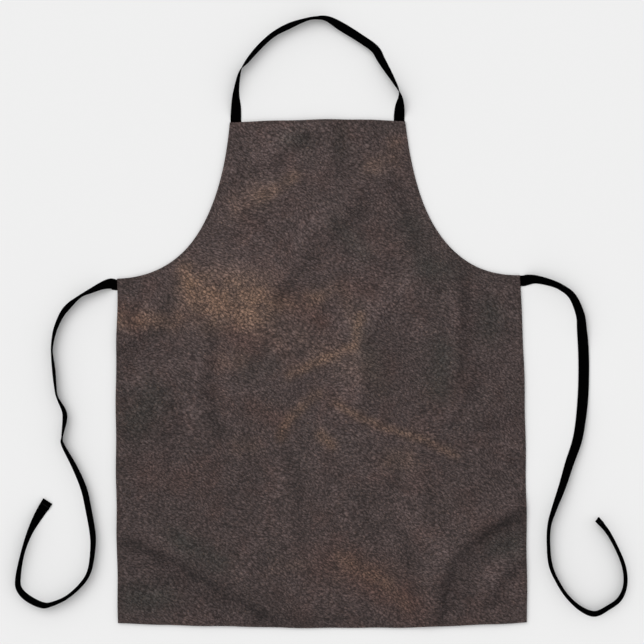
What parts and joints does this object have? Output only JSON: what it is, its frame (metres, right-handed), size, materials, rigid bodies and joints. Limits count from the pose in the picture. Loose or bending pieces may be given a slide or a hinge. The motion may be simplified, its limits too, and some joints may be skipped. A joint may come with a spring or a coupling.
{
  "type": "welding apron",
  "caption": "Hemmed leather welding apron with a bib, curved armholes, a fabric neck loop and two waist ties, laid flat.",
  "frame": {"origin": "middle of the leather panel's footprint, on the surface it lies on", "axes": "+Z out of the grain side, +Y from the bottom hem towards the neck loop, +X to the right as seen from the grain side"},
  "size_m": [0.915, 0.9155, 0.016],
  "materials": {
    "brown_leather": "matte pebbled grain, dark brown, waxed and rubbed lighter at the folds",
    "black_tape": "black woven twill tape, matte",
    "dark_thread": "dark brown bonded sewing thread"
  },
  "bodies": {
    "panel": {"apron_panel": "brown_leather", "neck_strap_tail_left": "black_tape", "neck_strap_tail_right": "black_tape", "waist_tie_tail_left": "black_tape", "waist_tie_tail_right": "black_tape", "hem_seam_top": "dark_thread", "hem_seam_bottom": "dark_thread", "hem_seam_side_left": "dark_thread", "hem_seam_side_right": "dark_thread", "hem_seam_armhole_left": "dark_thread", "hem_seam_armhole_right": "dark_thread", "neck_box_stitch_left": "dark_thread", "neck_box_stitch_right": "dark_thread", "tie_box_stitch_left": "dark_thread", "tie_box_stitch_right": "dark_thread"},
    "neck_loop": {"neck_strap": "black_tape"},
    "tie_left": {"waist_tie_left": "black_tape", "tie_end_stitch_left": "dark_thread"},
    "tie_right": {"waist_tie_right": "black_tape", "tie_end_stitch_right": "dark_thread"}
  },
  "joints": [
    {"name": "neck_loop_fold", "type": "hinge", "parent": "panel", "child": "neck_loop", "pos_m": [0, 0.37765, 0.0022], "axis": [1, 0, 0], "range_deg": [0, 150]},
    {"name": "tie_left_fold", "type": "hinge", "parent": "panel", "child": "tie_left", "pos_m": [-0.30193, 0.1355, 0.0022], "axis": [0, 1, 0], "range_deg": [0, 150]},
    {"name": "tie_right_fold", "type": "hinge", "parent": "panel", "child": "tie_right", "pos_m": [0.30193, 0.1355, 0.0022], "axis": [0, -1, 0], "range_deg": [0, 150]}
  ]
}
